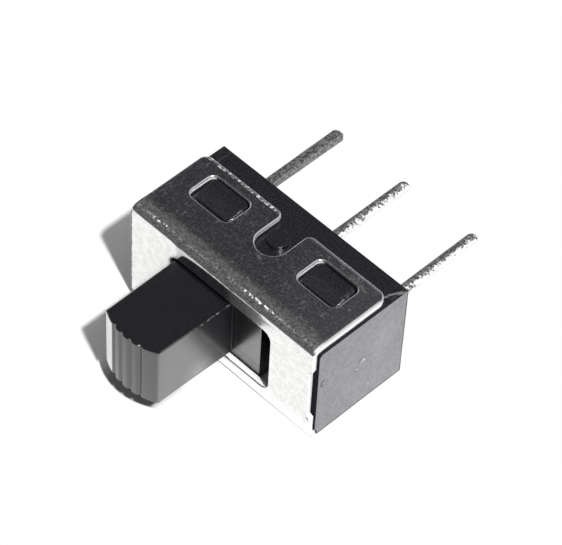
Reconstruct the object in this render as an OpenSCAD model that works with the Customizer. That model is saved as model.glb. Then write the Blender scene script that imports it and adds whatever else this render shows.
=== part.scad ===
// Miniature slide switch, one pole and two ways, with three square pins for a board.
// It lies on the lower flap of its cover. X is the way the knob slides, -Y is the
// knob's end, +Y is the pins' end and +Z points up through the upper flap.

/* [Terminals] */
// Distance from one pin to the next
pitch = 4.7; // [4:0.1:5.7]
// Width and thickness of the square pins, and thickness of their blades
pin_w = 0.64; // [0.5:0.02:0.8]
// Length of the pins behind the base
pin_len = 6.8; // [3:0.05:8]
// Bevel round the tips of the pins and the front edges of the blades
tip_cut = 0.14; // [0.05:0.01:0.2]
// Reach of the blades into the chamber, from its floor
blade_reach = 1.6; // [1.2:0.1:1.8]
// Depth of the wide part of each blade held in the floor
blade_root = 0.9; // [0.5:0.1:1.2]
// How far each blade runs past the place where the contact rests on it
blade_overlap = 0.36; // [0.25:0.01:0.5]

/* [Body] */
// Height over the two flaps of the cover
body_h = 6.6; // [5.6:0.1:8]
// Depth from the front of the cover to the rear of the base
body_d = 6.35; // [5.3:0.05:7.65]
// Thickness of the base's end walls
end_wall = 1.25; // [1:0.05:1.6]
// Thickness of the base's upper and lower walls
side_wall = 0.44; // [0.35:0.01:0.6]
// Thickness of the base's floor, which holds the terminals
floor_t = 1.75; // [1.5:0.05:2.1]
// Depth of the rear strip of the base that the flaps leave bare
rear_strip = 1.35; // [1:0.05:1.65]
// Height of the pads at the rear corners of the base
pad_h = 0.08; // [0.05:0.01:0.15]
// Width of those pads
pad_w = 0.45; // [0.3:0.05:0.6]
// Depth of those pads
pad_d = 0.85; // [0.5:0.05:0.85]
// Height of the skirts under the end walls, which cover the lower flap's end edges
skirt_h = 0.27; // [0.1:0.01:0.3]
// Gap between a skirt and the lower flap
skirt_gap = 0.03; // [0.02:0.01:0.04]

/* [Cover] */
// Thickness of the sheet
sheet_t = 0.38; // [0.3:0.01:0.42]
// Outer radius of the two bends
bend_r = 0.52; // [0.46:0.01:0.64]
// How far the cover stops short of each end of the base
cover_inset = 0.15; // [0.05:0.01:0.25]
// Radius of the flaps' rear corners
flap_r = 0.5; // [0.2:0.05:0.7]
// Radius of the slot's corners
slot_r = 0.5; // [0.2:0.05:0.8]
// Length of each window in the flaps
window_w = 2.75; // [2.2:0.05:3]
// Depth of each window in the flaps
window_d = 1.85; // [1.5:0.05:2.2]
// Radius of the windows' corners
window_r = 0.4; // [0.25:0.05:0.5]
// Metal left between a window and the end of the cover
window_side = 1.18; // [1:0.01:1.5]
// Metal left between a window and the rear edge of the flap
window_back = 0.55; // [0.4:0.05:0.7]
// Radius of the notch's closed end
notch_r = 0.87; // [0.75:0.01:1]
// Depth of the notch from the rear edge of the flap
notch_d = 2.4; // [2:0.05:2.8]
// Radius where the notch opens into the rear edge
mouth_r = 0.4; // [0.2:0.05:0.45]
// Height of the shallow recess in the +X end edge of the front plate
relief_h = 3.4; // [2.5:0.1:4]
// Depth of that recess
relief_d = 0.17; // [0.1:0.01:0.25]

/* [Bosses] */
// Gap between a boss and the sides of its window
boss_gap = 0.2; // [0.1:0.05:0.3]
// Gap between a boss and the front edge of its window
boss_front_gap = 0.3; // [0.2:0.05:0.5]
// Gap between a boss and the rear edge of its window, which it stops
boss_back_gap = 0.1; // [0.05:0.01:0.2]
// How far the bosses stay below the outside of the flaps
boss_drop = 0.08; // [0.02:0.01:0.15]
// Radius of the round stub that stands in the notch
stub_r = 0.58; // [0.4:0.01:0.65]
// Distance from the stub's middle to the rear edge of the flap
stub_back = 1.1; // [0.8:0.05:1.4]

/* [Slider] */
// Travel from one stop to the other
travel = 2.6; // [2.2:0.05:3]
// Width of the knob where it leaves the slot
knob_w = 3.84; // [3.2:0.02:4.4]
// Reach of the knob's crown in front of the cover
knob_out = 4.97; // [4:0.01:6]
// Radius of the knob's convex front
knob_r = 3.6; // [3:0.1:6]
// Narrowing of each side of the knob towards its front
knob_draft = 0.08; // [0:0.01:0.12]
// Radius of the knob's long edges
knob_edge = 0.2; // [0.1:0.01:0.3]
// Number of finger grooves
grooves = 4; // [2:1:6]
// Distance from one finger groove to the next
groove_pitch = 0.6; // [0.45:0.01:0.65]
// Depth of the finger grooves
groove_d = 0.15; // [0.08:0.01:0.2]
// How far the shoulder laps the plate above and below the slot
shoulder_lap = 0.3; // [0.2:0.01:0.5]
// Thickness of the shoulder in front of the contact's pocket
shoulder_t = 1.2; // [0.9:0.05:1.3]

/* [Contact] */
// Thickness of the contact's strip
clip_t = 0.2; // [0.15:0.01:0.25]
// Reach of the contact's arms over the blades
clip_lap = 1.2; // [0.8:0.05:1.3]
// Strip left past each pair of bumps
clip_end = 0.55; // [0.4:0.05:0.6]
// Height of the bumps above the inside of the arms
bump_h = 0.15; // [0.1:0.01:0.2]
// Radius of the bumps
bump_r = 0.3; // [0.26:0.01:0.35]

/* [Clearances] */
// Gap between the cover and the base
cover_gap = 0.02; // [0:0.01:0.05]
// Gap round each terminal in the floor
terminal_gap = 0.02; // [0:0.01:0.04]
// Running gap round the shoulder
slide_gap = 0.05; // [0.03:0.01:0.1]
// Gap above and below the knob in the slot
knob_gap = 0.22; // [0.1:0.01:0.3]
// Gap left in the slot at each end of the travel
slot_end_gap = 0.21; // [0.1:0.01:0.3]
// Gap between an outer blade and the chamber's end wall
blade_end_gap = 0.08; // [0.05:0.01:0.2]
// Gap between the slider and the blades that pass through it
channel_gap = 0.2; // [0.1:0.01:0.3]
// Gap between the bumps and the blades
bump_gap = 0.02; // [0.02:0.01:0.05]
// Gap round the contact in its pocket
pocket_gap = 0.04; // [0.02:0.01:0.06]

/* [Hidden] */
$fn = 64;

// How far a cut runs past the face it opens
over = 1;
// How far a boss is sunk into the wall that carries it
sunk = 0.1;
mid_z = body_h / 2;

// Length: the outer blades, the chamber round them, and the end walls
chamber_len = 2 * (pitch + pin_w / 2 + blade_end_gap);
base_len = chamber_len + 2 * end_wall;
cover_len = base_len - 2 * cover_inset;
shoulder_len = chamber_len - travel - 2 * slide_gap;
slot_len = knob_w + travel + 2 * slot_end_gap;
slider_x = -travel / 2;

// Height: each size is what the one outside it leaves
base_h = body_h - 2 * (sheet_t + cover_gap);
chamber_h = base_h - 2 * side_wall;
shoulder_h = chamber_h - 2 * slide_gap;
slot_h = shoulder_h - 2 * shoulder_lap;
knob_h = slot_h - 2 * knob_gap;
boss_h = sheet_t + cover_gap - boss_drop;

// Depth: from the knob's crown, past the front of the cover at y = 0, to the pins' tips
base_y = sheet_t + cover_gap;
shoulder_y = sheet_t + slide_gap;
pocket_y = shoulder_y + shoulder_t;
floor_y = body_d - floor_t;
slider_end_y = floor_y - slide_gap;
blade_y = floor_y - blade_reach;
blade_end_y = floor_y + blade_root;
pin_y = body_d + pin_len;
flap_len = body_d - rear_strip;
window_y = flap_len - window_back - window_d;
notch_y = flap_len - notch_d + notch_r;
crown_y = knob_r - knob_out;

// Plan of the cover and of the base's edges
window_x = cover_len / 2 - window_side - window_w / 2;
bend_in = bend_r - sheet_t;

// The contact's arms, and the blades its bumps rest on at each end of the travel
arm_z = pin_w / 2 + bump_gap + bump_h;
arm_out = arm_z + clip_t;
clip_len = pitch + 2 * clip_end;
clip_y = pocket_y + pocket_gap;
clip_end_y = blade_y + clip_lap;
outer_in = (pitch + travel) / 2 - blade_overlap;
common_out = (pitch - travel) / 2 + blade_overlap;

// The origin is under the middle of the whole switch, knob and pins included
mid_y = (pin_y - knob_out) / 2;

// -------------------------------------------------------------- helpers

module placed() {
    translate([0, -mid_y, mid_z]) children();
}

module both_x() {
    children();
    mirror([1, 0, 0]) children();
}

module both_z() {
    children();
    mirror([0, 0, 1]) children();
}

// Extrudes an outline drawn in Y and Z along X, centred on x = 0
module along_x(length) {
    translate([-length / 2, 0, 0]) rotate([90, 0, 90]) linear_extrude(length) children();
}

// Extrudes an outline drawn in X and Z from y0 to y1
module along_y(y0, y1) {
    translate([0, y1, 0]) rotate([90, 0, 0]) linear_extrude(y1 - y0) children();
}

// Extrudes an outline drawn in X and Y over a height centred on z = 0
module along_z(height) {
    translate([0, 0, -height / 2]) linear_extrude(height) children();
}

// Box from y0 to y1, centred on x = 0 and z = 0
module slab(w, y0, y1, h) {
    translate([-w / 2, y0, -h / 2]) cube([w, y1 - y0, h]);
}

module rounded_rect(w, h, r) {
    square([w - 2 * r, h], center = true);
    square([w, h - 2 * r], center = true);
    for (sx = [-1, 1], sy = [-1, 1])
        translate([sx * (w / 2 - r), sy * (h / 2 - r)]) circle(r);
}

// Rectangle from [x0, y0] to [x1, y1] with bevels c0 on its x0 side and c1 on its x1 side
module bevelled_rect(x0, x1, y0, y1, c0, c1) {
    polygon([[x0, y0 + c0], [x0 + c0, y0], [x1 - c1, y0], [x1, y0 + c1],
             [x1, y1 - c1], [x1 - c1, y1], [x0 + c0, y1], [x0, y1 - c0]]);
}

// What a radius r takes off the corner at the origin of a sheet on its -X, -Y side
module corner_waste(r) {
    difference() {
        translate([-r, -r]) square(2 * r);
        translate([-r, -r]) circle(r);
    }
}

// ---------------------------------------------------------------- cover

// Outline in Y and Z of a channel filled solid: its back at y0, rounded with radius r
module channel_fill(y0, y1, half_h, r) {
    translate([y0, r - half_h]) square([y1 - y0, 2 * (half_h - r)]);
    translate([y0 + r, -half_h]) square([y1 - y0 - r, 2 * half_h]);
    for (s = [-1, 1])
        translate([y0 + r, s * (half_h - r)]) circle(r);
}

// Everything punched through the flaps, seen from above
module flap_punching() {
    both_x() {
        translate([window_x, window_y + window_d / 2])
            rounded_rect(window_w, window_d, window_r);
        translate([cover_len / 2, flap_len]) corner_waste(flap_r);
        translate([-notch_r, flap_len]) corner_waste(mouth_r);
    }
    translate([0, notch_y]) circle(notch_r);
    translate([-notch_r, notch_y]) square([2 * notch_r, notch_d]);
}

// The slot and the recess in one end, punched through the front plate
module plate_punching() {
    rounded_rect(slot_len, slot_h, slot_r);
    translate([cover_len / 2 - relief_d, -relief_h / 2]) square([over, relief_h]);
}

module cover() {
    placed() color("gainsboro") difference() {
        along_x(cover_len) difference() {
            channel_fill(0, flap_len, mid_z, bend_r);
            channel_fill(sheet_t, flap_len + over, mid_z - sheet_t, bend_in);
        }
        along_z(body_h + over) flap_punching();
        along_y(-over, sheet_t + bend_in) plate_punching();
    }
}

// ----------------------------------------------------------------- base

// Solid block whose front bevel clears the cover's bends
module base_block() {
    along_x(base_len)
        bevelled_rect(base_y, body_d, -base_h / 2, base_h / 2, bend_in, 0);
}

// Thin skirt under one end wall, outside the end of the lower flap
module end_skirt() {
    x0 = cover_len / 2 + skirt_gap;
    translate([x0, base_y + bend_in, -base_h / 2 - skirt_h])
        cube([base_len / 2 - x0, body_d - base_y - bend_in, skirt_h + sunk]);
}

// Snap boss: it ramps up from the front and stops the window's rear edge
module window_boss() {
    w = window_w - 2 * boss_gap;
    y0 = window_y + boss_front_gap;
    y1 = window_y + window_d - boss_back_gap;
    mid = (y0 + y1) / 2;
    translate([window_x, 0, 0]) intersection() {
        translate([0, 0, base_h / 2]) along_x(w)
            polygon([[y0, -sunk], [y0, boss_h / 3], [mid, boss_h], [y1, boss_h], [y1, -sunk]]);
        translate([0, mid, 0]) along_z(body_h)
            rounded_rect(w, y1 - y0, window_r - min(boss_gap, boss_back_gap));
    }
}

module rear_pad() {
    translate([base_len / 2 - bend_in - pad_w, body_d - bend_in - pad_d, base_h / 2 - sunk])
        cube([pad_w, pad_d, sunk + pad_h]);
}

module notch_stub() {
    translate([0, flap_len - stub_back, base_h / 2 - sunk])
        cylinder(h = sunk + boss_h, r = stub_r);
}

// Stepped hole for one terminal: its wide blade from the chamber, its pin from the rear
module terminal_hole(x0, x1, pin_x) {
    g = terminal_gap;
    z = pin_w / 2 + g;
    translate([x0 - g, floor_y - over, -z])
        cube([x1 - x0 + 2 * g, over + blade_root + g, 2 * z]);
    translate([pin_x - z, floor_y, -z]) cube([2 * z, floor_t + over, 2 * z]);
}

module base() {
    placed() color("dimgray") difference() {
        union() {
            base_block();
            both_x() end_skirt();
            both_z() {
                both_x() {
                    window_boss();
                    rear_pad();
                }
                notch_stub();
            }
        }
        slab(chamber_len, base_y - over, floor_y, chamber_h);
        both_x() terminal_hole(outer_in, pitch + pin_w / 2, pitch);
        terminal_hole(-common_out, common_out, 0);
    }
}

// --------------------------------------------------------------- slider

// Plan of the knob: drafted sides, a convex front and V grooves square to it
module knob_plan() {
    difference() {
        intersection() {
            polygon([[-knob_w / 2, shoulder_y + sunk], [knob_w / 2, shoulder_y + sunk],
                     [knob_w / 2, 0], [knob_w / 2 - knob_draft, -knob_out],
                     [knob_draft - knob_w / 2, -knob_out], [-knob_w / 2, 0]]);
            union() {
                translate([0, crown_y]) circle(knob_r);
                translate([-knob_r, crown_y]) square([2 * knob_r, knob_out + over]);
            }
        }
        for (i = [0:grooves - 1])
            translate([0, crown_y]) rotate(asin((i - (grooves - 1) / 2) * groove_pitch / knob_r))
                translate([0, -knob_r]) rotate(45) square(sqrt(2) * groove_d, center = true);
    }
}

module slider() {
    placed() translate([slider_x, 0, 0]) color("dimgray") {
        intersection() {
            along_z(knob_h) knob_plan();
            along_y(-knob_out - over, shoulder_y + over) rounded_rect(knob_w, knob_h, knob_edge);
        }
        difference() {
            slab(shoulder_len, shoulder_y, slider_end_y, shoulder_h);
            slab(clip_len + 2 * pocket_gap, pocket_y, floor_y, 2 * (arm_out + pocket_gap));
            slab(shoulder_len + over, blade_y - channel_gap, floor_y, pin_w + 2 * channel_gap);
        }
    }
}

// -------------------------------------------------------------- contact

// A bump pressed inwards in one arm, drawn in X and Z, hollow on its outer side
module bump(cut) {
    translate([0, arm_z - bump_h + bump_r]) circle(bump_r - cut);
}

module contact_clip() {
    placed() translate([slider_x, 0, 0]) color("goldenrod") {
        slab(clip_len, clip_y, clip_y + clip_t, 2 * arm_out);
        both_z() along_y(clip_y, clip_end_y) difference() {
            union() {
                translate([-clip_len / 2, arm_z]) square([clip_len, clip_t]);
                both_x() intersection() {
                    translate([pitch / 2, 0]) bump(0);
                    square([clip_len / 2, arm_out]);
                }
            }
            both_x() translate([pitch / 2, 0]) bump(clip_t);
        }
    }
}

// ------------------------------------------------------------ terminals

// One flat terminal: a wide blade from x0 to x1 and a square pin centred on pin_x
module terminal(x0, x1, pin_x) {
    placed() color("silver") intersection() {
        along_z(pin_w) {
            bevelled_rect(x0, x1, blade_y, blade_end_y, 0, 0);
            translate([pin_x, 0]) rotate(90)
                bevelled_rect(floor_y, pin_y, -pin_w / 2, pin_w / 2, 0, tip_cut);
        }
        along_x(base_len)
            bevelled_rect(blade_y, pin_y, -pin_w / 2, pin_w / 2, tip_cut, tip_cut);
    }
}

module terminal_left() {
    terminal(-pitch - pin_w / 2, -outer_in, -pitch);
}

module terminal_common() {
    terminal(-common_out, common_out, 0);
}

module terminal_right() {
    terminal(outer_in, pitch + pin_w / 2, pitch);
}

cover();
base();
slider();
contact_clip();
terminal_left();
terminal_common();
terminal_right();
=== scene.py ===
import math

import bmesh
import bpy
from mathutils import Matrix, Vector, kdtree, noise
from mathutils.geometry import delaunay_2d_cdt


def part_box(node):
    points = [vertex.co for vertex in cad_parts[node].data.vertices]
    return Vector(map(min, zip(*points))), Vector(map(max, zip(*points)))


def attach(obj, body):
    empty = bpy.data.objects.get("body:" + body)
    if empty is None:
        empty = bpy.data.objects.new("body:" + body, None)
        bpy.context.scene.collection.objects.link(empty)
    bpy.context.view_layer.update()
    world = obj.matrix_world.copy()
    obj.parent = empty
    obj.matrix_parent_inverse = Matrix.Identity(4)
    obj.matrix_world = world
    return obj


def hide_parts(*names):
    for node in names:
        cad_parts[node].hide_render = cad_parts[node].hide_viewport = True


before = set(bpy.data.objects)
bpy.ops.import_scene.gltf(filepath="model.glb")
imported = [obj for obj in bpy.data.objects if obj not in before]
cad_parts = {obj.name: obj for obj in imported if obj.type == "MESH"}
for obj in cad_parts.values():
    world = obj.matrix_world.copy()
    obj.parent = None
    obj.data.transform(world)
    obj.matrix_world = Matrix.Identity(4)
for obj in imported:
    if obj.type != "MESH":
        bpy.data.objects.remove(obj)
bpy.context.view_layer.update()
scene = bpy.context.scene
scene.view_settings.view_transform = "Standard"
mm = 0.001
print("frame loaded")

# lengths are in millimetres, from the front of the cover (y) and its middle height (z)
coverLow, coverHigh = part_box("cover")
baseLow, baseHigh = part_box("base")
sliderLow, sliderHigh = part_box("slider")
datum = Vector((0, coverLow.y, (coverLow.z + coverHigh.z) / 2))


def local(corner):
    return (corner - datum) / mm


def inSpace(x, y, z):
    return datum + Vector((x, y, z)) * mm


def grey(level):
    return (level, level, level)


class Wire:  # a node's output, which Python's operators can work on
    def __init__(self, shader, socket):
        self.shader = shader
        self.socket = socket

    def __add__(self, other):
        return self.shader.maths("ADD", self, other)

    def __sub__(self, other):
        return self.shader.maths("SUBTRACT", self, other)

    def __rsub__(self, other):
        return self.shader.maths("SUBTRACT", other, self)

    def __mul__(self, other):
        return self.shader.maths("MULTIPLY", self, other)

    def __abs__(self):
        return self.shader.maths("ABSOLUTE", self)

    __radd__ = __add__
    __rmul__ = __mul__


class Shader:  # a material's or the world's node tree while it is built
    def __init__(self, owner):
        owner.use_nodes = True
        self.tree = owner.node_tree
        self.tree.nodes.clear()

    def node(self, kind, settings, sockets, output=0):
        made = self.tree.nodes.new("ShaderNode" + kind)
        for key, value in settings.items():
            setattr(made, key, value)
        for key, value in sockets.items():
            socket = made.inputs[key]
            if isinstance(value, Wire):
                self.tree.links.new(value.socket, socket)
            else:
                socket.default_value = (*value, 1) if socket.type == "RGBA" else value
        return Wire(self, made.outputs[output]) if len(made.outputs) else None

    def maths(self, operation, *values):
        return self.node("Math", {"operation": operation}, dict(enumerate(values)))

    def most(self, first, *others):  # the largest of these
        for other in others:
            first = self.maths("MAXIMUM", first, other)
        return first

    def place(self):  # where the point is, in millimetres from the datum
        spot = self.node("TexCoord", {}, {}, "Object")
        spot = self.node("VectorMath", {"operation": "SUBTRACT"}, {0: spot, 1: datum})
        return self.node("VectorMath", {"operation": "SCALE"}, {0: spot, "Scale": 1 / mm})

    def facing(self):  # how much the surface faces along x, y and z
        return self.axes(self.node("TexCoord", {}, {}, "Normal"))

    def axes(self, vector):
        return [self.node("SeparateXYZ", {}, {0: vector}, axis) for axis in range(3)]

    def grain(self, place, scale, detail=3.0, stretch=None):
        if stretch:
            place = self.node("VectorMath", {"operation": "MULTIPLY"}, {0: place, 1: stretch})
        return self.node("TexNoise", {}, {"Vector": place, "Scale": scale, "Detail": detail})

    # goes smoothly from first to last while the value goes from start to stop, up or down
    def band(self, value, start, stop, first=0.0, last=1.0):
        return self.node("MapRange", {"interpolation_type": "SMOOTHSTEP"}, {
            "Value": value, "From Min": start, "From Max": stop, "To Min": first, "To Max": last})

    def blend(self, amount, first, second):  # of two colours
        return self.node("Mix", {"data_type": "RGBA"}, {"Factor": amount, 6: first, 7: second}, 2)

    def mix(self, amount, first, second):  # of two surfaces
        return self.node("MixShader", {}, {"Fac": amount, 1: first, 2: second})

    def distance(self, place, centre):
        return self.node("VectorMath", {"operation": "DISTANCE"}, {0: place, 1: centre}, 1)

    def near(self, place, centre, radius, soft):  # 1 within radius of a point, 0 outside
        return self.band(self.distance(place, centre), radius + soft, radius - soft)

    def bump(self, height, depth, under=None):  # depth in millimetres
        sockets = {"Height": height, "Distance": depth * mm}
        if under:
            sockets["Normal"] = under
        return self.node("Bump", {}, sockets)

    def rays(self, *kinds):  # 1 for rays of these kinds
        return self.most(*[self.node("LightPath", {}, {}, "Is " + kind + " Ray") for kind in kinds])

    def finish(self, surface, kind="Material"):
        self.node("Output" + kind, {}, {"Surface": surface})


def newMaterial(name):
    material = bpy.data.materials.new(name)
    return material, Shader(material)


cameraSet = {
    "azimuth": 42.884, "elevation": 49.664, "roll": 3.444,  # degrees
    "distance": 146.22, "aside": (-0.867, -0.933), "target": (0.0, -1.09, 3.25),  # mm
    "lens": 192.17, "sensor": 36.0, "clip": (0.01, 5.0),
}


def addCamera():
    azimuth, elevation, roll = (math.radians(cameraSet[key]) for key in ("azimuth", "elevation", "roll"))
    away, rise = math.cos(elevation), math.sin(elevation)
    back = Vector((math.sin(azimuth) * away, -math.cos(azimuth) * away, rise))
    flat = Vector((math.cos(azimuth), math.sin(azimuth), 0))
    right = flat * math.cos(roll) + back.cross(flat) * math.sin(roll)
    up = back.cross(right)
    sideways, upwards = cameraSet["aside"]
    eye = Vector(cameraSet["target"]) + back * cameraSet["distance"] - right * sideways - up * upwards
    data = bpy.data.cameras.new("camera")
    data.lens, data.sensor_width = cameraSet["lens"], cameraSet["sensor"]
    data.clip_start, data.clip_end = cameraSet["clip"]
    camera = bpy.data.objects.new("camera", data)
    camera.matrix_world = Matrix.Translation(eye * mm) @ Matrix((right, up, back)).transposed().to_4x4()
    scene.collection.objects.link(camera)
    scene.camera = camera


addCamera()
print("camera placed")

# from here on, most pairs of numbers say where something starts to show and where it shows fully, and
# where another number comes first, they are distances from it
stageSet = {
    "floorHalf": 600.0, "floorShade": 0.9, "litFloor": 1.18,  # the last is for white floor in reflections
    # the floor is white behind the body, and in front of it from its middle to the right
    "farWhite": (7.6, 7.9), "sideWhite": (-0.5, 0.0), "nearWhite": (3.5, 3.0),
    # round a point by the knob's front end: a dark shadow inside a circle, and white floor just past it
    "shadowPoint": (-0.87, -1.05), "shadowShade": 0.36, "shadowCircle": (3.9, 0.02),  # radius, softness
    "shadowX": (-3.0, -1.6), "shadowY": (-1.8, -2.6),
    "pastCircle": (3.6, 0.05), "pastX": (-3.0, -2.8), "pastY": (-3.3, -3.6),
    "lampFrom": (0.515, -0.19, 0.836), "lampStrength": 3.5, "lampAngle": 0.05,
    "room": (0.35, 0.8), "roomRise": (0.05, 0.6),  # at the horizon and overhead
    "backdrop": (0.08, 0.0), "front": (-0.8, 0.1, 0.3),  # the room is darker towards -Y
    "panel": 0.13, "panelMiddle": -0.43, "panelHalf": (0.2, 0.36),
    "cloth": 0.045, "clothFrom": (-0.44, 0.47, 0.76), "clothEdge": (0.94, 0.985),
}


def paleFloor():
    stage = stageSet
    material, shader = newMaterial("paleFloor")
    band = shader.band
    place = shader.place()
    x, y = shader.axes(place)[:2]
    middle = (local(sliderLow).x + local(sliderHigh).x) / 2
    pointX, pointY = stage["shadowPoint"]
    point = (middle + pointX, pointY, local(Vector()).z)
    shadow = shader.near(place, point, *stage["shadowCircle"])
    shadow = shadow * band(x - middle, *stage["shadowX"]) * band(y, *stage["shadowY"])
    past = 1 - shader.near(place, point, *stage["pastCircle"])
    past = past * band(x - middle, *stage["pastX"]) * band(y, *stage["pastY"])
    colour = shader.blend(shadow, grey(stage["floorShade"]), grey(stage["shadowShade"]))
    paper = shader.node("BsdfDiffuse", {}, {"Color": colour})
    # blown out to white for the camera, and as bright as the lit floor in reflections
    glare = shader.blend(shader.rays("Camera"), grey(stage["litFloor"]), grey(1.0))
    white = shader.node("Emission", {}, {"Color": glare, "Strength": 1.0})
    seen = shader.rays("Camera", "Glossy", "Transmission")
    near = band(x, *stage["sideWhite"]) * band(y, *stage["nearWhite"])
    blown = shader.most(band(y, *stage["farWhite"]), near, past)
    shader.finish(shader.mix(seen * blown, paper, white))
    return material


def addFloor():
    half = stageSet["floorHalf"] * mm
    corners = [(-half, -half, 0), (half, -half, 0), (half, half, 0), (-half, half, 0)]
    mesh = bpy.data.meshes.new("floor")
    mesh.from_pydata(corners, [], [(0, 1, 2, 3)])
    mesh.materials.append(paleFloor())
    floor = bpy.data.objects.new("floor", mesh)
    scene.collection.objects.link(floor)


def addLamp():
    data = bpy.data.lights.new("keyLamp", "SUN")
    data.energy, data.angle = stageSet["lampStrength"], stageSet["lampAngle"]
    lamp = bpy.data.objects.new("keyLamp", data)
    lamp.rotation_mode = "QUATERNION"
    lamp.rotation_quaternion = Vector(stageSet["lampFrom"]).to_track_quat("Z", "Y")
    scene.collection.objects.link(lamp)


def addRoom():
    stage = stageSet
    world = bpy.data.worlds.new("room")
    scene.world = world
    shader = Shader(world)
    toward = shader.node("TexCoord", {}, {}, "Generated")
    x, y, z = shader.axes(toward)
    room = shader.band(z, *stage["roomRise"], *stage["room"]) * shader.band(y, *stage["front"])
    panel = shader.band(abs(x - stage["panelMiddle"]), *stage["panelHalf"], 1.0, 0.0)
    aligned = shader.node("VectorMath", {"operation": "DOT_PRODUCT"}, {0: toward, 1: stage["clothFrom"]}, 1)
    cloth = shader.band(aligned, *stage["clothEdge"])
    level = room * (1 - panel) + panel * stage["panel"]
    level = level * (1 - cloth) + cloth * stage["cloth"]
    # the background is white to the camera, and near the horizon to reflections too
    mirrored = shader.rays("Glossy", "Transmission") * shader.band(z, *stage["backdrop"])
    seen = shader.most(mirrored, shader.rays("Camera"))
    strength = level * (1 - seen) + seen
    shader.finish(shader.node("Background", {}, {"Strength": strength}), "World")


addFloor()
addLamp()
addRoom()
print("floor and light placed")


# a path is a closed list of (point, outward) with the material on its left; corners are (x, y, radius)
def roundedPath(corners, step=0.12, arcStep=0.035):
    arcs = []
    for i, (x, y, radius) in enumerate(corners):
        spot = Vector((x, y))
        before = (Vector(corners[i - 1][:2]) - spot).normalized()
        after = (Vector(corners[(i + 1) % len(corners)][:2]) - spot).normalized()
        half = before.angle(after) / 2
        centre = spot + (before + after).normalized() * radius / math.sin(half)
        start = spot + before * (radius / math.tan(half)) - centre
        turn = 1 if before.cross(after) < 0 else -1
        sweep = math.pi - 2 * half
        pieces = max(3, math.ceil(sweep * radius / arcStep))
        arms = [Matrix.Rotation(turn * sweep * k / pieces, 2) @ start for k in range(pieces + 1)]
        arcs.append([(centre + arm, arm.normalized() * turn) for arm in arms])
    path = []
    for arc, following in zip(arcs, arcs[1:] + arcs[:1]):
        (end, outward), start = arc[-1], following[0][0]
        pieces = max(1, round((start - end).length / step))
        path += arc + [(end.lerp(start, k / pieces), outward) for k in range(1, pieces)]
    return [spot for spot, last in zip(path, path[-1:] + path[:-1]) if (spot[0] - last[0]).length > 1e-4]


# fills the space between rings of (point, vert) with triangles; the first ring is the outer one, and
# points of the grid stay clear of the rings
def fillFace(bm, rings, grid, lay, depth, slot, clear=0.09):
    tree = kdtree.KDTree(sum(len(ring) for ring in rings))
    points, verts, loops = [], [], []
    for order, ring in enumerate(rings):
        first = len(points)
        points += [point for point, vert in ring]
        verts += [vert for point, vert in ring]
        loop = list(range(first, len(points)))
        loops.append(loop[::-1] if order else loop)
    for i, point in enumerate(points):
        tree.insert(point.to_3d(), i)
    tree.balance()
    points += [spot for spot in map(Vector, grid) if tree.find(spot.to_3d())[2] > clear]
    verts += [None] * (len(points) - len(verts))
    made = delaunay_2d_cdt(points, [], loops, 1, 1e-7)
    faces, sources, around = made[2], made[3], made[5]  # around says which loops each face is inside
    for face, inside in zip(faces, around):
        if set(inside) == {0}:
            corners = []
            for corner in face:
                source = sources[corner][0]
                if verts[source] is None:
                    verts[source] = bm.verts.new(lay(*points[source], depth))
                corners.append(verts[source])
            bm.faces.new(corners).material_index = slot


# a solid cut along paths: wall is (inset, depth, slot) from the upper face to the lower one
def stampSolid(paths, wall, lay, grid=()):
    bm = bmesh.new()
    insets, depths, slots = zip(*wall)
    upper, lower = [], []
    for path in paths:
        rings = []
        for inset, depth in zip(insets, depths):
            spots = [point - outward * inset for point, outward in path]
            rings.append([(spot, bm.verts.new(lay(*spot, depth))) for spot in spots])
        for above, below, slot in zip(rings, rings[1:], slots[1:]):
            for i in range(len(above)):
                corners = (above[i - 1][1], above[i][1], below[i][1], below[i - 1][1])
                bm.faces.new(corners).material_index = slot
        upper.append(rings[0])
        lower.append(rings[-1])
    fillFace(bm, upper, grid, lay, depths[0], slots[0])
    fillFace(bm, lower, grid, lay, depths[-1], slots[0])
    return bm


def quarterTurn(pieces):
    return [math.pi / 2 * k / pieces for k in range(pieces + 1)]


def rolledEdge(width, depth):  # the rounding that a punch leaves round its cut, as the start of a wall
    return [(width * (1 - math.sin(turn)), depth * (1 - math.cos(turn)), 0) for turn in quarterTurn(5)]


def fillMesh(mesh, bm, sharp):
    bmesh.ops.recalc_face_normals(bm, faces=bm.faces)
    for face in bm.faces:
        face.smooth = True
    for edge in bm.edges:
        edge.smooth = edge.calc_face_angle(0) < math.radians(sharp)
    bm.to_mesh(mesh)
    bm.free()


def toObject(name, bm, materials, sharp=35.0):
    mesh = bpy.data.meshes.new(name)
    fillMesh(mesh, bm, sharp)
    for material in materials:
        mesh.materials.append(material)
    piece = bpy.data.objects.new(name, mesh)
    scene.collection.objects.link(piece)
    return piece


def cadCopy(node):
    bm = bmesh.new()
    bm.from_mesh(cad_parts[node].data)
    bmesh.ops.remove_doubles(bm, verts=bm.verts, dist=1e-7)
    bmesh.ops.dissolve_limit(bm, angle_limit=math.radians(1), verts=bm.verts, edges=bm.edges)
    return bm


def softenEdges(piece, width, pieces=3):
    soft = piece.modifiers.new("softEdges", "BEVEL")
    soft.width, soft.segments = width * mm, pieces
    soft.limit_method, soft.angle_limit = "ANGLE", math.radians(30)
    soft.miter_outer = "MITER_ARC"


def evenShading(piece):
    even = piece.modifiers.new("evenShading", "WEIGHTED_NORMAL")
    even.keep_sharp = True


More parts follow.
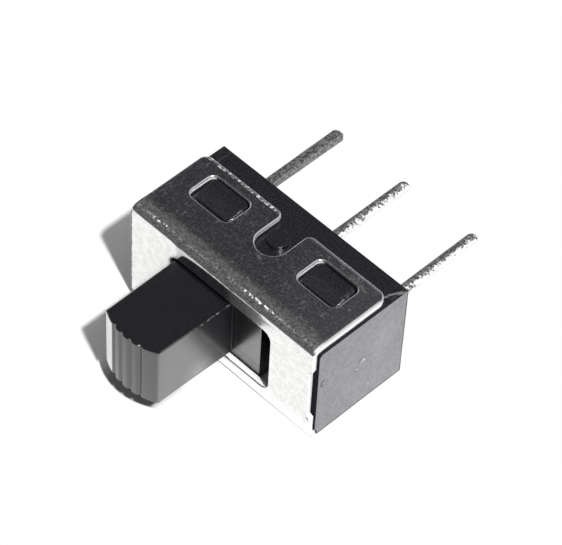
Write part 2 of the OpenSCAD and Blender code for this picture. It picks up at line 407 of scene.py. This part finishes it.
coverSet = {
    "sheet": 0.38, "bend": 0.52, "tail": 0.5, "tailTurn": 4.0,  # the flaps start to turn before the bend
    "slot": (6.86, 4.22, 0.5), "window": (2.75, 1.85, 0.4),  # width, height, corner radius
    "windowSide": 1.18, "windowBack": 0.55, "flapCorner": 0.5, "rearCorner": 0.62,
    "notch": (0.87, 2.4, 0.4), "relief": (3.4, 0.17, 0.12),  # half width, depth, mouth; height, depth, corner
    "roll": (0.1, 0.075), "burnish": 0.55, "tear": 0.025,  # the cut edge, from its outside to its inside
    # how far the outline strays: ends further out, the upper flap's left corner more so, longer flaps
    "lean": 0.05, "rearShift": 0.1, "longer": 0.13,
    "drift": {-1: (-0.03, -0.06, 0.0), 1: (-0.1, -0.01, 0.05)},  # windows: wider, along x, along s
    # parts of the sheet, by angle round the bend in radians, by height, and down from the top
    "frontTurn": (1.0, 1.25), "flapTurn": (0.3, 0.1), "upper": (2.0, 2.1), "topDown": (0.3, 0.2),
    "overSlotLeft": (-0.1, 0.1), "overSlotRight": (0.1, 0.5),  # in from the slot's ends
    # the bends are rubbed raggedly from a little way onto the flaps, and further down over the slot
    "rubbedFrom": (-1.0, -0.4), "rubbedTo": (0.98, 0.8), "ragged": 0.3, "furtherDown": 0.22,
    # painted glints: bright specks where the bends' ridge is lit
    "ridgeFrom": (0.05, 0.2), "ridgeTo": (0.5, 0.3), "litRidge": ((-4.45, 0.8, 0.35), (2.3, 1.6, 0.8)),
    "glintGrain": 6.0, "glints": (0.54, 0.6),
    # painted glints on the burrs of the rear edge's left half and on the upper flap's right end, and plastic
    # smeared by the window
    "burrGlintGrain": (0.47, 0.62), "burrGlintsBack": (0.14, 0.06), "burrGlintsX": (-0.8, -1.0), "burrGlints": 0.8,
    "endGlintFromEnd": (0.18, 0.1), "endGlintTurn": (0.9, 0.5), "endGlintBack": (0.1, 0.5), "endGlint": 0.6,
    "smearX": (4.7, 0.9, 0.4), "smearBack": (0.4, 0.3, 0.1), "smearGrain": (0.44, 0.56), "smear": 0.7,
    # on the front plate: painted shade at its left edge, a grey strip over the slot, a painted reflection of
    # the knob, a crease, the pale low part
    "edgeShade": (0.06, 0.0), "edgeShadeRagged": 0.2, "greyOverSlotX": (0.2, 0.9), "greyOverSlot": 0.75,
    "knobReflectionX": (-1.15, 2.0, 1.7), "knobReflection": 0.6, "creaseZ": (0.05, 0.085, 0.03), "creaseX": (9.0, -1.0),
    "low": (-1.6, -2.4), "lowPale": 0.55, "cloudy": (0.38, 0.62), "specks": (0.48, 0.62),
    # where the flap is dull: where it was handled, towards its right, its rear edge, and rolled edges
    "handledGrain": (0.57, 0.68), "handledFine": (0.42, 0.6), "dullX": (0.0, 6.0),
    "rearBack": (0.08, 0.0), "rolledFacing": (0.1, 0.4),
    "flapColour": (0.79, 0.78, 0.84), "plateColours": ((0.7, 0.695, 0.685), (0.86, 0.857, 0.85)),
    "lowColour": (0.93, 0.93, 0.925), "edgeShadeColour": (0.12, 0.12, 0.125), "creaseColour": grey(0.12),
    "knobReflectionColour": (0.34, 0.33, 0.36), "wornColours": (grey(0.055), (0.13, 0.128, 0.126)),
    "ridgeColour": grey(0.3), "glintColour": grey(0.9), "wornGrain": (0.36, 0.64),
    # the cut edges: how much they face an end, up or down, and where they are broken or shaded
    "litEdgeFacing": (0.35, 0.7), "brokenDown": (0.18, 0.25), "brokenEnd": (0.4, 0.5),
    "behindPlate": (0.6, 0.7), "notchX": (1.5, 1.3), "notchShaded": 0.6,
    "slotX": (3.9, 3.7), "slotY": (0.6, 0.5), "slotZ": (1.2, 1.4),
    "cutMetalColours": ((0.5, 0.5, 0.51), (0.95, 0.945, 0.93)), "litEdgeColour": (0.93, 0.925, 0.91),
    "notchColour": grey(0.2), "brokenAndShadeColour": (0.06, 0.06, 0.065),
}


def platedSheet():
    cover = coverSet
    material, shader = newMaterial("platedSheet")
    band, grain, blend = shader.band, shader.grain, shader.blend
    place = shader.place()
    x, y, z = shader.axes(place)
    end, deep, tall = local(coverHigh)
    bend, slotHalf = cover["bend"], cover["slot"][0] / 2
    fromRear = deep - y
    fine, coarse = grain(place, 9.0), grain(place, 2.4)

    # the angle round the bend: a quarter turn on the front plate, 0 where a flap starts, less behind that
    turn = shader.maths("ARCTAN2", bend - y, shader.most(abs(z) - (tall - bend), 0.02))
    front, upper = band(turn, *cover["frontTurn"]), band(z, *cover["upper"])
    onTop = band(tall - z, *cover["topDown"])
    onFlap = band(turn, *cover["flapTurn"]) * onTop
    overSlot = band(slotHalf - x - coarse, *cover["overSlotRight"])
    overSlot = overSlot * band(x + slotHalf, *cover["overSlotLeft"])

    # the outside of the bends was rubbed by the tool and has lost its polish
    ragged = turn + cover["ragged"] * (coarse - 0.5)
    markedZone = band(ragged, *cover["rubbedFrom"])
    markedZone = markedZone * band(ragged - cover["furtherDown"] * overSlot, *cover["rubbedTo"])
    ridge = band(turn, *cover["ridgeFrom"]) * band(turn, *cover["ridgeTo"])
    # painted glints: bright specks on the lit ridge, on the rear edge's burrs and along the upper flap's
    # right end
    lit = shader.most(*[band(abs(x - middle), *reach) for middle, *reach in cover["litRidge"]])
    glintNoise = grain(place, cover["glintGrain"])
    burrGlints = band(fromRear, *cover["burrGlintsBack"]) * onTop * band(x, *cover["burrGlintsX"])
    burrGlints = burrGlints * band(glintNoise, *cover["burrGlintGrain"])
    endGlint = band(end - x, *cover["endGlintFromEnd"]) * band(turn, *cover["endGlintTurn"])
    endGlint = endGlint * upper * band(fromRear, *cover["endGlintBack"])
    glints = band(glintNoise, *cover["glints"]) * ridge * lit
    glints = shader.most(glints, cover["burrGlints"] * burrGlints, cover["endGlint"] * endGlint)
    (smearX, *reachX), (smearBack, *reachBack) = cover["smearX"], cover["smearBack"]
    smeared = onFlap * band(abs(x - smearX), *reachX) * band(abs(fromRear - smearBack), *reachBack)
    smeared = smeared * band(grain(place, 2.5, stretch=(0.7, 2.0, 1.0)), *cover["smearGrain"])

    # painted shade: the left edge of the front plate is darker
    edgeShade = front * band(x + end + cover["edgeShadeRagged"] * (fine - 0.5), *cover["edgeShade"])
    greyOverSlot = overSlot * front * upper * band(x, *cover["greyOverSlotX"])
    # a painted reflection of the knob: the plate above it is darker and greyer
    middle, *reach = cover["knobReflectionX"]
    knobReflection = front * upper * band(abs(x - middle), *reach)
    down, *reach = cover["creaseZ"]
    crease = band(abs(z + (tall - bend + down)), *reach) * band(x, *cover["creaseX"]) * front
    plate = blend(band(0.5 * coarse + 0.5 * fine, *cover["cloudy"]), *cover["plateColours"])
    plate = blend(cover["lowPale"] * band(z, *cover["low"]), plate, cover["lowColour"])
    colour = blend(front, cover["flapColour"], plate)
    colour = blend(edgeShade, colour, cover["edgeShadeColour"])
    colour = blend(cover["knobReflection"] * knobReflection, colour, cover["knobReflectionColour"])
    colour = blend(crease, colour, cover["creaseColour"])

    specks = band(fine, *cover["specks"])
    handled = band(grain(place, 2.0, 4.0), *cover["handledGrain"]) * band(fine, *cover["handledFine"])
    rear = band(fromRear, *cover["rearBack"]) * onTop
    rolled = onFlap * band(shader.facing()[1], *cover["rolledFacing"]) * (1 - rear)
    dull = 0.03 * specks + 0.06 * handled + 0.015 * band(x, *cover["dullX"]) + 0.1 * rear + 0.14 * rolled
    metal = (1 - dull * (1 - front)) * (1 - 0.6 * edgeShade)
    plated = shader.node("BsdfPrincipled", {}, {
        "Base Color": colour, "Metallic": metal, "Roughness": 0.1 + coarse * 0.12,
        "Normal": shader.bump(coarse, 0.003)})

    worn = blend(band(fine, *cover["wornGrain"]), *cover["wornColours"])
    worn = blend(0.6 * ridge * specks, worn, cover["ridgeColour"])
    worn = blend(glints, worn, cover["glintColour"])
    scraped = shader.node("BsdfPrincipled", {}, {
        "Base Color": worn, "Metallic": 0.15 * (1 - glints), "Roughness": 0.45,
        "Normal": shader.bump(fine, 0.02)})
    overlay = shader.most(markedZone, glints, cover["greyOverSlot"] * greyOverSlot, cover["smear"] * smeared)
    shader.finish(shader.mix(overlay, plated, scraped))
    return material


def shearedEdge():
    cover = coverSet
    material, shader = newMaterial("shearedEdge")
    band, blend = shader.band, shader.blend
    place = shader.place()
    x, y, z = shader.axes(place)
    end, tall = local(coverHigh).xz
    rough = shader.grain(place, 10.0)
    # edges that face an end, up or down are painted light, pale and matt, the others are burnished metal
    facing = shader.facing()
    litEdge = band(abs(facing[0]) + abs(facing[2]), *cover["litEdgeFacing"])
    colour = blend(litEdge * rough, *cover["cutMetalColours"])
    colour = blend(litEdge, colour, cover["litEdgeColour"])
    # in the flaps the lower part of each cut broke away and is dark, and the slot's upper edge, which faces
    # down, is painted dark as shade
    behindPlate = band(y, *cover["behindPlate"])
    broken = band(tall - abs(z), *cover["brokenDown"]) * band(end - abs(x), *cover["brokenEnd"]) * behindPlate
    inSlot = band(y, *cover["slotY"]) * band(z, *cover["slotZ"]) * band(abs(x), *cover["slotX"])
    inNotch = band(abs(x), *cover["notchX"]) * behindPlate
    colour = blend(cover["notchShaded"] * inNotch, colour, cover["notchColour"])
    colour = blend(shader.most(broken, inSlot), colour, cover["brokenAndShadeColour"])
    shader.finish(shader.node("BsdfPrincipled", {}, {
        "Base Color": colour, "Metallic": 1 - litEdge, "Roughness": 0.4,
        "Normal": shader.bump(rough, 0.006)}))
    return material


def hole(x, s, wide, high, radius):
    left, right, low, top = x - wide / 2, x + wide / 2, s - high / 2, s + high / 2
    return roundedPath([(left, low, radius), (left, top, radius), (right, top, radius), (right, low, radius)])


# the sheet is drawn flat, with s from the middle of the front plate over a bend to a flap's rear edge
def coverPaths(end, flapEnd):
    cover = coverSet
    notch, notchDeep, mouth = cover["notch"]
    reliefTall, reliefIn, reliefRound = cover["relief"]
    corner, shut, half = cover["flapCorner"], flapEnd - notchDeep, reliefTall / 2
    far, rear = end + cover["lean"], flapEnd + cover["longer"]
    right = [(far, -rear, corner), (far, -half, reliefRound), (end - reliefIn, -half, reliefRound),
             (end - reliefIn, half, reliefRound), (end, half, reliefRound), (end, rear, cover["rearCorner"])]
    upper = [(notch, rear, mouth), (notch, shut, notch), (-notch, shut, notch), (-notch, rear, mouth)]
    left = [(-far - cover["rearShift"], rear, corner), (-far, -rear, corner)]
    lower = [(-x, -s, radius) for x, s, radius in upper]
    paths = [roundedPath(right + upper + left + lower, 0.07), hole(0, 0, *cover["slot"])]

    wide, deep, radius = cover["window"]
    windowX = end - cover["windowSide"] - wide / 2
    windowS = flapEnd - cover["windowBack"] - deep / 2
    for side, (wider, driftX, driftS) in cover["drift"].items():
        middle = side * windowX + driftX
        paths += [hole(middle, flap * (windowS + driftS), wide + wider, deep, radius) for flap in (-1, 1)]
    return paths


# inner points of the sheet's faces, with close rows where it turns
def coverGrid(end, bendStart, bendEnd, flapEnd, coarse=0.3, close=0.045, column=0.25):
    rows = [k * coarse for k in range(int(bendStart / coarse))]
    rows += [bendStart + k * close for k in range(int((bendEnd - bendStart) / close) + 1)]
    rows += [bendEnd + k * coarse for k in range(1, int((flapEnd - bendEnd) / coarse))]
    columns = [-end + k * column for k in range(1, int(2 * end / column))]
    return [(x, s * side) for x in columns for s in rows for side in (-1, 1)]


def makeCover(materials):
    cover = coverSet
    end, depth, tall = local(coverHigh)
    sheet, bend, tail, tear = cover["sheet"], cover["bend"], cover["tail"], cover["tear"]
    turned = math.radians(cover["tailTurn"])
    arc = math.pi / 2 - turned
    rise = bend * math.sin(arc) + turned * tail / 3
    plateHalf = tall - rise
    flapEnd = plateHalf + bend * arc + depth - bend * (1 - math.cos(arc))

    def lay(x, s, down):  # where a point of the flat sheet goes
        side = math.copysign(1, s)
        s = abs(s)
        turn = min(max(s - plateHalf, 0) / bend, arc)
        y, z = bend * (1 - math.cos(turn)), min(s, plateHalf) + bend * math.sin(turn)
        along = s - plateHalf - bend * arc
        if along > 0:
            left = max(1 - along / tail, 0)
            turn = math.pi / 2 - turned * left ** 2
            y, z = y + along, z + turned * tail / 3 * (1 - left ** 3)
        return inSpace(x, y + down * math.cos(turn), side * (z - down * math.sin(turn)))

    wall = rolledEdge(*cover["roll"])
    wall += [(0.0, cover["burnish"] * sheet, 1), (tear, 0.93 * sheet, 1), (1.7 * tear, sheet, 1)]
    grid = coverGrid(end, plateHalf - 0.1, plateHalf + bend * arc + tail + 0.1, flapEnd)
    solid = stampSolid(coverPaths(end, flapEnd), wall, lay, grid)
    piece = toObject("coverSheet", solid, materials)
    evenShading(piece)
    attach(piece, "housing")
    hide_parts("cover")


makeCover([platedSheet(), shearedEdge()])
print("cover made")


# marks gives the polish, the colour, and where shade is painted as a dark matt surface, where light hardly
# reaches
def blackPlastic(name, look, marks):
    material, shader = newMaterial(name)
    place = shader.place()
    cloud, fine = shader.grain(place, 0.7), shader.grain(place, 9.0, 2.0)
    low, high, matt = ([factor * part for part in look["shade"]] for factor in (0.4, 1.6, 1.8))
    polish, colour, paintedShade = marks(shader, place, shader.blend(shader.band(fine, 0.3, 0.7), low, high))
    glossy = shader.node("BsdfPrincipled", {}, {
        "Base Color": colour, "Roughness": 0.4 + 0.15 * fine, "Specular IOR Level": 0.2,
        "Coat Weight": polish, "Coat Roughness": 0.22, "Coat IOR": look["gloss"],
        "Normal": shader.bump(fine, 0.004, shader.bump(cloud, 0.03))})
    shader.finish(shader.mix(paintedShade, glossy, shader.node("BsdfDiffuse", {}, {"Color": matt})))
    return material


baseSet = {
    "edge": 0.035, "shade": (0.0095, 0.0088, 0.0125), "gloss": 3.0, "polish": 0.35,
    # the end walls are polished and paler, partly as painted light, apart from a rim behind and below that is
    # painted shade, and the right one has a painted highlight
    "endWall": (0.03, 0.005), "endColour": (0.024, 0.018, 0.036), "endPolish": 0.7,
    "rimBack": (0.05, 0.1), "rimUp": (0.11, 0.17), "bright": ((4.9, 0.7), 0.6, 1.3),
    # on it are worn ejector marks, as rings that are only partly there, and chips, each (y, z, radius)
    "rings": ((3.5, -0.25, 0.45), (0.8, 0.6, 0.2)), "ringEdge": (0.13, 0.03), "ringPatches": (0.46, 0.56),
    "chips": ((3.5, 0.0, 0.1), (3.96, -2.2, 0.08), (3.1, -0.35, 0.06)), "chipColour": grey(0.6),
    "worn": (0.4, 0.55),
    # painted highlights on a ridge at the rear right corner and on both bosses' right ends, and metal smeared
    # over the right boss
    "topDown": (0.4, 0.35), "highlightAndSmearColour": grey(0.16), "bossEndSpecks": (0.35, 0.6),
    "ridgeFoot": (5.85, 5.2), "ridgeSlope": 0.5, "ridgeEdge": (0.09, 0.04), "ridgeY": (5.0, 5.2),
    "smearX": (4.8, 0.3, 0.12), "smearY": (3.9, 0.6, 0.3), "smearWorn": (0.3, 0.8), "smear": 0.3,
    "bossEndsMiddle": 1.175, "bossEnd": (3.645, 0.09, 0.05), "bossEndY": (3.9, 3.8),
    # behind the cover: painted light in the mouth of the chamber, and painted shade in the gaps round the
    # cover's edges
    "mouthEnd": (1.0, 1.3), "mouthFrom": (0.45, 0.6), "mouthTo": (2.4, 2.2), "mouthTall": (2.55, 2.5),
    "mouthLightColour": (0.8, 0.79, 0.82), "gapEnd": (0.17, 0.13), "gapY": (4.9, 4.6), "gapFront": (0.52, 0.46),
}


def bodyMarks(shader, place, colour):
    base, band, blend = baseSet, shader.band, shader.blend
    x, y, z = shader.axes(place)
    end, rear, tall = local(baseHigh)
    fromEnd = end - abs(x)
    fine, mottle = shader.grain(place, 8.0), shader.grain(place, 4.0, 5.0)
    scars, patches = shader.grain(place, 2.6, 2.0), shader.grain(place, 1.9, 2.0)
    onEnd = band(fromEnd, *base["endWall"])
    # a painted highlight on the right end wall
    (brightY, brightZ), radius, soft = base["bright"]
    bright = shader.near(place, (end, brightY, brightZ), radius, soft)
    rings = sum(band(abs(shader.distance(place, (end, ringY, ringZ)) + 0.5 * scars - 0.25 - size),
                     *base["ringEdge"]) for ringY, ringZ, size in base["rings"])
    rings = rings * band(patches, *base["ringPatches"]) * band(mottle, *base["worn"])
    chips = sum(shader.near(place, (end, chipY, chipZ), size, 0.06) * band(fine, *base["worn"])
                for chipY, chipZ, size in base["chips"])
    # painted shade: a dull rim along the end walls' rear and lower edges
    rim = 1 - band(rear - y, *base["rimBack"]) * band(z - local(baseLow).z, *base["rimUp"])
    polish = base["endPolish"] + 0.14 * band(mottle, 0.38, 0.64) + 0.16 * fine + 0.2 * bright
    polish = onEnd * polish * (1 - 0.7 * rings) * (1 - 0.8 * rim) + (1 - onEnd) * base["polish"]
    colour = blend(onEnd * (1 - rim), colour, base["endColour"])
    colour = blend(chips, colour, base["chipColour"])

    # painted highlights along the ridge and the bosses' right ends, with the smear, on the top
    footX, footY = base["ridgeFoot"]
    across = x - footX - base["ridgeSlope"] * (y - footY)
    ridge = band(abs(across), *base["ridgeEdge"]) * band(y, *base["ridgeY"])
    (smearX, *reachX), (smearY, *reachY) = base["smearX"], base["smearY"]
    smear = band(abs(x - smearX), *reachX) * band(abs(y - smearY), *reachY) * band(fine, *base["smearWorn"])
    halfway, *reach = base["bossEnd"]
    bossEnd = band(abs(abs(x - base["bossEndsMiddle"]) - halfway), *reach) * band(y, *base["bossEndY"])
    highlightsAndSmear = shader.most(ridge, base["smear"] * smear, bossEnd * band(fine, *base["bossEndSpecks"]))
    colour = blend(band(tall - z, *base["topDown"]) * (1 - onEnd) * highlightsAndSmear, colour, base["highlightAndSmearColour"])

    # painted light: the chamber's walls by the slot are pale
    mouth = band(fromEnd, *base["mouthEnd"]) * band(y, *base["mouthFrom"]) * band(y, *base["mouthTo"])
    mouth = mouth * band(abs(z), *base["mouthTall"])
    # painted shade in the gaps round the cover's edges
    gaps = band(fromEnd, *base["gapEnd"]) * band(y, *base["gapY"])
    paintedShade = shader.most(gaps, band(y, *base["gapFront"])) * (1 - onEnd)
    return polish, blend(mouth, colour, base["mouthLightColour"]), paintedShade


def makeBase(material):
    piece = toObject("baseShell", cadCopy("base"), [material])
    softenEdges(piece, baseSet["edge"])
    evenShading(piece)
    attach(piece, "housing")
    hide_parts("base")


makeBase(blackPlastic("bodyPlastic", baseSet, bodyMarks))
print("base made")

knobSet = {
    "wide": 3.84, "tall": 3.78, "out": 4.97, "crown": 3.6, "draft": 0.08, "edge": 0.09, "ribEdge": 0.05,
    "grooves": 4, "pitch": 0.6, "deep": 0.15, "soft": 0.03, "sunk": 0.9, "crownPieces": 210, "sidePieces": 24,
    "shoulderStart": 0.4301, "shoulderEdge": 0.05,  # the shoulder starts this far behind the cover's front
    "shade": (0.0055, 0.005, 0.0075), "gloss": 2.4, "shadeDepth": 0.93,
    # painted shade: the polish is taken off the right side towards the slot, and off the shoulder up to a
    # slanting line
    "sideSlope": 0.48, "sideShade": (-2.6, -0.6), "sideTo": (0.3, 0.2), "sideSkin": (0.2, 0.12),
    "shoulderFrom": (0.3, 0.4), "shoulderSlope": 0.577, "shoulderShade": (0.3, -0.5),
    "shoulderTop": (1.75, 1.85),
    "ribsY": (-3.9, -4.1), "ribsSide": (0.05, 0.2), "ribsTall": (1.88, 1.82), "flatZ": (1.84, 1.88),
    # painted light: glare on the land at the front's left end, a pale spot on the right side, and glints
    # specked along its edges
    "landX": (0.86, 0.82), "landY": (-4.1, -4.2), "landTall": (1.83, 1.8), "landGlareColour": (0.95, 0.945, 0.93),
    "markedZone": ((-1.9, -1.5), 0.4, 0.9), "sidePaleLight": 0.14,
    "edgeX": (0.07, 0.02), "edgeTall": (1.78, 1.84), "edgeGlintSpecks": (0.45, 0.6), "edgeGlintColour": grey(0.2),
}


def knobMarks(shader, place, colour):
    knob, band, blend = knobSet, shader.band, shader.blend
    x, y, z = shader.axes(place)
    side = (local(sliderLow).x + local(sliderHigh).x) / 2 + knob["wide"] / 2
    left = side - knob["wide"]
    fromSide = side - x
    # painted shade: less polish on the right side towards the slot, and on the shoulder below a slanting line
    sideShade = band(y + knob["sideSlope"] * z, *knob["sideShade"]) * band(y, *knob["sideTo"])
    sideShade = sideShade * band(fromSide, *knob["sideSkin"])
    onShoulder = band(y, *knob["shoulderFrom"])
    under = (x - side) - knob["shoulderSlope"] * (z + knob["tall"] / 2)
    shoulderShade = onShoulder * band(under, *knob["shoulderShade"])
    # painted shade on the shoulder's top strip, which is also made dark and matt
    above = onShoulder * band(z, *knob["shoulderTop"])
    ribs = band(y, *knob["ribsY"]) * band(fromSide, *knob["ribsSide"]) * band(abs(z), *knob["ribsTall"])
    polish = 1 - knob["shadeDepth"] * shader.most(sideShade, shoulderShade, above)
    polish = polish * (1 - 0.4 * ribs) * (1 - 0.3 * band(abs(z), *knob["flatZ"]))
    # painted light: a pale spot on the right side
    (rubbedY, rubbedZ), radius, soft = knob["markedZone"]
    markedZone = shader.near(place, (side, rubbedY, rubbedZ), radius, soft) * (1 - sideShade)
    colour = blend(knob["sidePaleLight"] * markedZone, colour, grey(1.0))
    # painted glints specked along the right side's edges
    edge = band(abs(fromSide), *knob["edgeX"]) * band(abs(z), *knob["edgeTall"])
    specks = band(shader.grain(place, 5.0, 2.0), *knob["edgeGlintSpecks"])
    colour = blend(edge * specks, colour, knob["edgeGlintColour"])
    # painted glare on the land at the front's left end
    land = band(x - left, *knob["landX"]) * band(y, *knob["landY"]) * band(abs(z), *knob["landTall"])
    return polish, blend(land, colour, knob["landGlareColour"]), above


def knobOutline(middle):  # (point, outward, edge radius) round the knob from above: ribbed crown, then sides
    knob = knobSet
    wide, out, crown = knob["wide"] / 2, knob["out"], knob["crown"]
    sweep = math.asin((wide - knob["draft"]) / crown)
    path = []
    for k in range(knob["crownPieces"] + 1):
        angle = sweep * (2 * k / knob["crownPieces"] - 1)
        cut = 0
        for groove in range(knob["grooves"]):
            gap = angle * crown - (groove - (knob["grooves"] - 1) / 2) * knob["pitch"]
            reach = knob["deep"] - math.hypot(gap, knob["soft"])
            cut += (reach + math.hypot(reach, knob["soft"])) / 2
        outward = Vector((math.sin(angle), -math.cos(angle)))
        path.append((Vector((middle, crown - out)) + outward * (crown - cut), outward, knob["ribEdge"]))
    sides = []
    cornerY = path[-1][0].y
    for k in range(1, knob["sidePieces"] + 1):
        y = cornerY + (knob["sunk"] - cornerY) * k / knob["sidePieces"]
        sides.append((wide - knob["draft"] * min(max(-y / out, 0), 1), y))
    path += [(Vector((middle + x, y)), Vector((1, 0)), knob["edge"]) for x, y in sides]
    path += [(Vector((middle - x, y)), Vector((-1, 0)), knob["edge"]) for x, y in reversed(sides)]
    return path


def knobSolid(path):  # the outline stretched from top to bottom, with rounded edges
    half = knobSet["tall"] / 2
    turns = quarterTurn(6)
    bm = bmesh.new()
    rings = []
    for side, turn in [(1, turn) for turn in turns] + [(-1, turn) for turn in reversed(turns)]:
        ring = []
        for point, outward, edge in path:
            spot = point - outward * edge * (1 - math.sin(turn))
            ring.append(bm.verts.new(inSpace(*spot, side * (half - edge * (1 - math.cos(turn))))))
        rings.append(ring)
    for above, below in zip(rings, rings[1:]):
        for i in range(len(path)):
            bm.faces.new((above[i - 1], above[i], below[i], below[i - 1]))
    bm.faces.new(rings[0])
    bm.faces.new(rings[-1])
    return bm


def shoulderBlock(material):  # the CAD slider's shoulder and pocket, without its plain knob
    block = cadCopy("slider")
    cut = inSpace(0, local(sliderLow).y + knobSet["out"] + knobSet["shoulderStart"], 0)
    bmesh.ops.bisect_plane(block, geom=block.verts[:] + block.edges[:] + block.faces[:], dist=1e-8,
                           plane_co=cut, plane_no=(0, -1, 0), clear_outer=True)
    bmesh.ops.holes_fill(block, edges=[edge for edge in block.edges if edge.is_boundary])
    shoulder = toObject("shoulder", block, [material])
    softenEdges(shoulder, knobSet["shoulderEdge"])
    return shoulder


def makeSlider(material):
    middle = (local(sliderLow).x + local(sliderHigh).x) / 2
    piece = toObject("sliderKnob", knobSolid(knobOutline(middle)), [material], 30)
    shoulder = shoulderBlock(material)
    join = piece.modifiers.new("shoulder", "BOOLEAN")
    join.operation, join.object, join.solver = "UNION", shoulder, "EXACT"
    bpy.context.view_layer.update()
    whole = bpy.data.meshes.new_from_object(piece.evaluated_get(bpy.context.evaluated_depsgraph_get()))
    piece.modifiers.clear()
    piece.data = whole
    bpy.data.objects.remove(shoulder)
    joined = bmesh.new()
    joined.from_mesh(whole)
    bmesh.ops.remove_doubles(joined, verts=joined.verts, dist=1e-8)
    fillMesh(whole, joined, 30)
    evenShading(piece)
    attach(piece, "slider")
    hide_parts("slider")


makeSlider(blackPlastic("knobPlastic", knobSet, knobMarks))
print("slider made")

pinSet = {
    "thick": 0.64, "pitch": 4.7, "leftOut": 0.09, "lower": 0.02,  # the left pin stands further out
    "neckIn": 0.85,  # how far inside the base's rear face the blade narrows
    "bladeCorner": 0.17, "neckCorner": 0.1, "tipCorners": (0.3, 0.17), "roll": (0.14, 0.09),
    "sag": {"left": 0.0, "common": 0.16, "right": 0.16}, "waviness": 0.014,
    # painted shade on the pins' upper sides: dark along the left of each, and over all of the first, at the
    # left
    "first": (-2.0, -3.0), "top": (0.12, 0.2), "shadeTo": 0.3, "shadeToFirst": 1.5, "shadeEdge": (0.12, -0.12),
    "tinColour": (0.97, 0.965, 0.96), "shadeColours": ((0.1, 0.098, 0.105), (0.27, 0.267, 0.272)),
}


def tinnedPin():
    pin = pinSet
    material, shader = newMaterial("tinnedPin")
    band, blend = shader.band, shader.blend
    place = shader.place()
    x, z = shader.axes(place)[::2]
    fine, coarse = shader.grain(place, 8.0), shader.grain(place, 3.0)
    first = band(x, *pin["first"])
    top = band(z + 0.25 * first, *pin["top"])
    # how far a point is to the right of its own pin's middle, then of where the painted shade ends
    outer = band(x, -1, 1, -1.0, 1.0) * (abs(x) - pin["pitch"])
    across = band(abs(x), pin["pitch"] / 2 - 0.1, pin["pitch"] / 2 + 0.1) * (outer - x) + x
    across = across - (pin["shadeTo"] + (pin["shadeToFirst"] - pin["shadeTo"]) * first) * (pin["thick"] / 2)
    ragged = across + (1 - 0.8 * first) * (0.5 * (coarse - 0.5) + 0.9 * (fine - 0.5))
    # painted shade on the upper side, in a dark duller colour
    overlay = top * band(ragged, *pin["shadeEdge"])
    colour = blend(overlay, pin["tinColour"], blend(band(fine, 0.4, 0.6), *pin["shadeColours"]))
    shader.finish(shader.node("BsdfPrincipled", {}, {
        "Base Color": colour, "Metallic": 0.6 - 0.3 * top + 0.3 * overlay,
        "Roughness": 0.15 + top * (0.2 + 0.2 * fine), "Normal": shader.bump(coarse * top, 0.03)}))
    return material


def makeTerminal(which, material):
    pin = pinSet
    low, high = (local(corner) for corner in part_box("terminal_" + which))
    thick, pitch = pin["thick"], pin["pitch"]
    pinX = {"left": -pitch - pin["leftOut"], "common": 0, "right": pitch}[which]
    left, right, neckY = pinX - thick / 2, pinX + thick / 2, local(baseHigh).y - pin["neckIn"]
    blade, neck, (tipLeft, tipRight) = pin["bladeCorner"], pin["neckCorner"], pin["tipCorners"]
    corners = [(low.x, low.y, blade), (high.x, low.y, blade)]
    if high.x > right + 0.2:  # the blade reaches past the pin on this side
        corners += [(high.x, neckY, blade), (right, neckY, neck)]
    corners += [(right, high.y, tipRight), (left, high.y, tipLeft)]
    if low.x < left - 0.2:
        corners += [(left, neckY, neck), (low.x, neckY, blade)]

    # the pin's upper side sags towards the right, and the whole pin is a little lumpy
    def lay(x, y, down):
        toRight, outside = min(max((x - pinX + 0.06) / (thick / 2), 0), 1), min(max(y - neckY, 0), 1)
        worn = pin["sag"][which] * toRight ** 1.5 * outside * (1 - down / thick)
        lump = pin["waviness"] * noise.noise(Vector((x * 1.5, y * 0.8, 3 * down + pinX)))
        return inSpace(x + lump, y, thick / 2 - down - worn + lump - pin["lower"])

    wall = rolledEdge(*pin["roll"])
    wall += [(0.0, 0.3, 0), (0.0, 0.5, 0), (0.015, thick - 0.03, 0), (0.05, thick, 0)]
    stepX, stepY = 0.08, 0.15
    grid = [(low.x + 0.05 + i * stepX, low.y + 0.1 + j * stepY)
            for i in range(int((high.x - low.x) / stepX)) for j in range(int((high.y - low.y) / stepY))]
    solid = stampSolid([roundedPath(corners, 0.15)], wall, lay, grid)
    piece = toObject("terminal" + which.capitalize(), solid, [material])
    evenShading(piece)
    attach(piece, "housing")
    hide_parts("terminal_" + which)


tin = tinnedPin()
for which in ("left", "common", "right"):
    makeTerminal(which, tin)
print("terminals made")

clipSet = {"colours": ((0.62, 0.37, 0.2), (0.78, 0.5, 0.3)), "cloud": 1.5, "rolled": (1.0, 8.0, 8.0)}


def springMetal():
    material, shader = newMaterial("springMetal")
    place = shader.place()
    cloud, rolled = shader.grain(place, clipSet["cloud"]), shader.grain(place, 4.0, stretch=clipSet["rolled"])
    shader.finish(shader.node("BsdfPrincipled", {}, {
        "Base Color": shader.blend(cloud, *clipSet["colours"]), "Metallic": 1.0,
        "Roughness": 0.2 + cloud * 0.2, "Normal": shader.bump(rolled, 0.004)}))
    return material


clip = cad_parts["contact_clip"]
clip.data.materials.clear()
clip.data.materials.append(springMetal())
print("contact clip finished")
